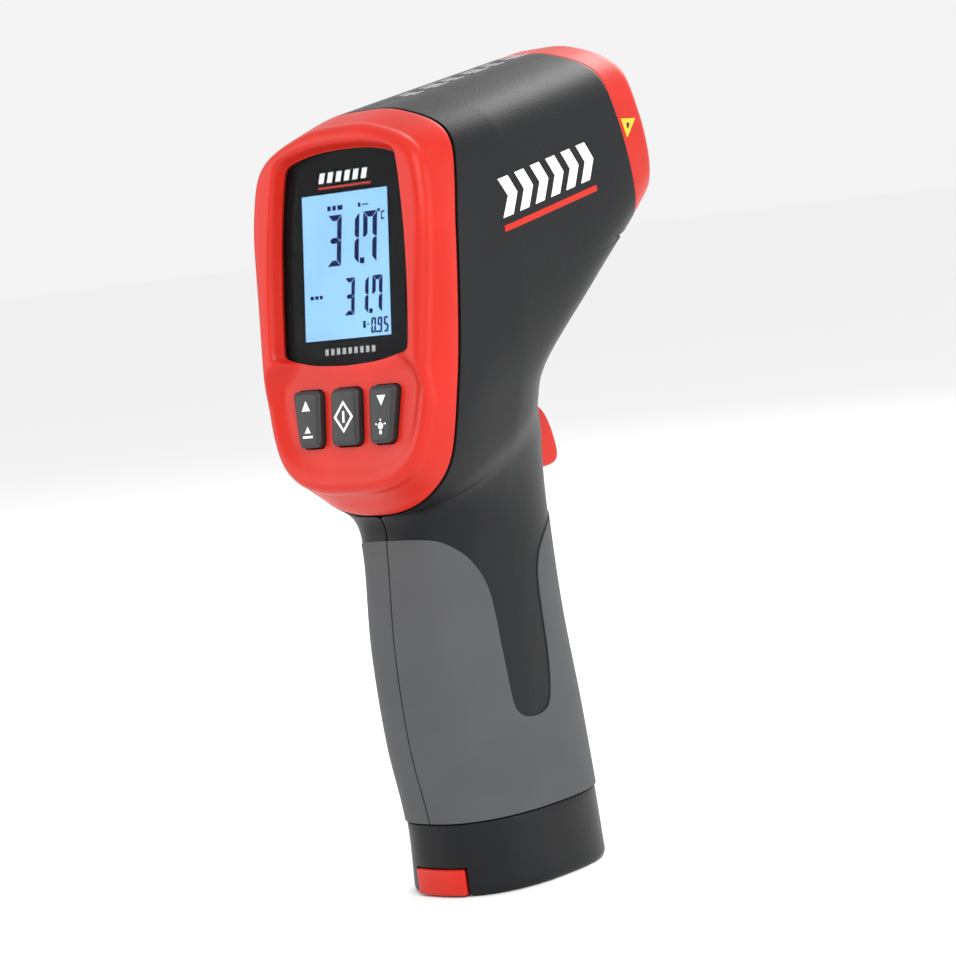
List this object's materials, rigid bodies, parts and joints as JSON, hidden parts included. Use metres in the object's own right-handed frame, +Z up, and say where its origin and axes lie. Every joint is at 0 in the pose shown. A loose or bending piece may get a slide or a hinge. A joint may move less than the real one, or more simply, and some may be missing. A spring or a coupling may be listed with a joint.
{
  "type": "infrared thermometer",
  "caption": "Pistol-grip infrared thermometer with a tilted backlit display, a keypad, a rocking trigger, an upward-pitched lens barrel and a pull-out battery base.",
  "frame": {"origin": "centre of the base's flat face, on the plane between the two housings", "axes": "+Z up, +Y the way the lens points, +X to the right of a user who reads the display"},
  "size_m": [0.059, 0.0946, 0.1898],
  "materials": {
    "housing": "satin charcoal ABS",
    "grip": "soft grey overmoulded rubber",
    "trim": "bright orange-red, semi-gloss",
    "window": "gloss, tinted",
    "mask": "black print",
    "key": "matt black silicone",
    "lcd": "backlit pale blue",
    "board": "green circuit board",
    "component": "black moulded plastic",
    "steel": "bright steel",
    "brass": "plain",
    "optic": "dark infrared lens, polished",
    "tube": "matt black",
    "print": "printed mark",
    "marker": "yellow sticker",
    "battery": "steel can with a plain wrap"
  },
  "bodies": {
    "root": {"left_housing": "housing", "right_housing": "housing", "left_grip": "grip", "right_grip": "grip", "bezel": "trim", "display_window": "window", "window_mask": "mask", "keypad_mat": "key", "lcd_panel": "lcd", "lcd_backlight": "lcd", "main_board": "board", "board_components": "component", "buzzer": "component", "board_screws": "steel", "sensor_board": "board", "sensor_flex": "board", "thermopile": "steel", "ir_lens": "optic", "lens_tube": "tube", "lens_retainer": "tube", "laser_module": "brass", "laser_window": "optic", "front_plate": "tube", "nose_ring": "trim", "top_label": "print", "side_badges": "print", "marker_triangles": "marker", "trigger_pin": "steel", "trigger_spring": "steel", "switch_board": "board", "trigger_switch": "component", "contact_block": "component", "contact_pads": "brass", "housing_screws": "steel"},
    "trigger": {"trigger": "trim"},
    "plunger": {"switch_plunger": "component"},
    "key_left": {"key_left": "key"},
    "key_middle": {"key_middle": "key"},
    "key_right": {"key_right": "key"},
    "cap": {"battery_cap": "housing", "battery_tray": "component", "battery": "battery", "latch_spring": "steel"},
    "latch": {"latch_button": "trim"}
  },
  "joints": [
    {"name": "trigger_pull", "type": "hinge", "parent": "root", "child": "trigger", "pos_m": [0, 0.0135, 0.107], "axis": [-1, 0, 0], "range_deg": [0, 9], "stiffness_Nm_per_rad": 0.3, "springref_deg": -5.73, "deforming": ["trigger_spring"]},
    {"name": "plunger_slide", "type": "slide", "parent": "root", "child": "plunger", "axis": [0, -1, 0], "range_m": [0, 0.00143]},
    {"name": "key_left_press", "type": "slide", "parent": "root", "child": "key_left", "axis": [0, 0.9903, -0.1392], "range_m": [0, 0.0008], "stiffness_N_per_m": 300, "springref_m": -0.0008},
    {"name": "key_middle_press", "type": "slide", "parent": "root", "child": "key_middle", "axis": [0, 0.9903, -0.1392], "range_m": [0, 0.0008], "stiffness_N_per_m": 300, "springref_m": -0.0008},
    {"name": "key_right_press", "type": "slide", "parent": "root", "child": "key_right", "axis": [0, 0.9903, -0.1392], "range_m": [0, 0.0008], "stiffness_N_per_m": 300, "springref_m": -0.0008},
    {"name": "cap_pull", "type": "slide", "parent": "root", "child": "cap", "axis": [0, 0, -1], "range_m": [0, 0.06]},
    {"name": "latch_press", "type": "slide", "parent": "cap", "child": "latch", "axis": [0, 1, 0], "range_m": [0, 0.0016], "stiffness_N_per_m": 400, "springref_m": -0.0015, "deforming": ["latch_spring"]}
  ],
  "couplings": [
    {"joint": "plunger_slide", "follows": "trigger_pull", "m_per_rad": 0.009}
  ]
}
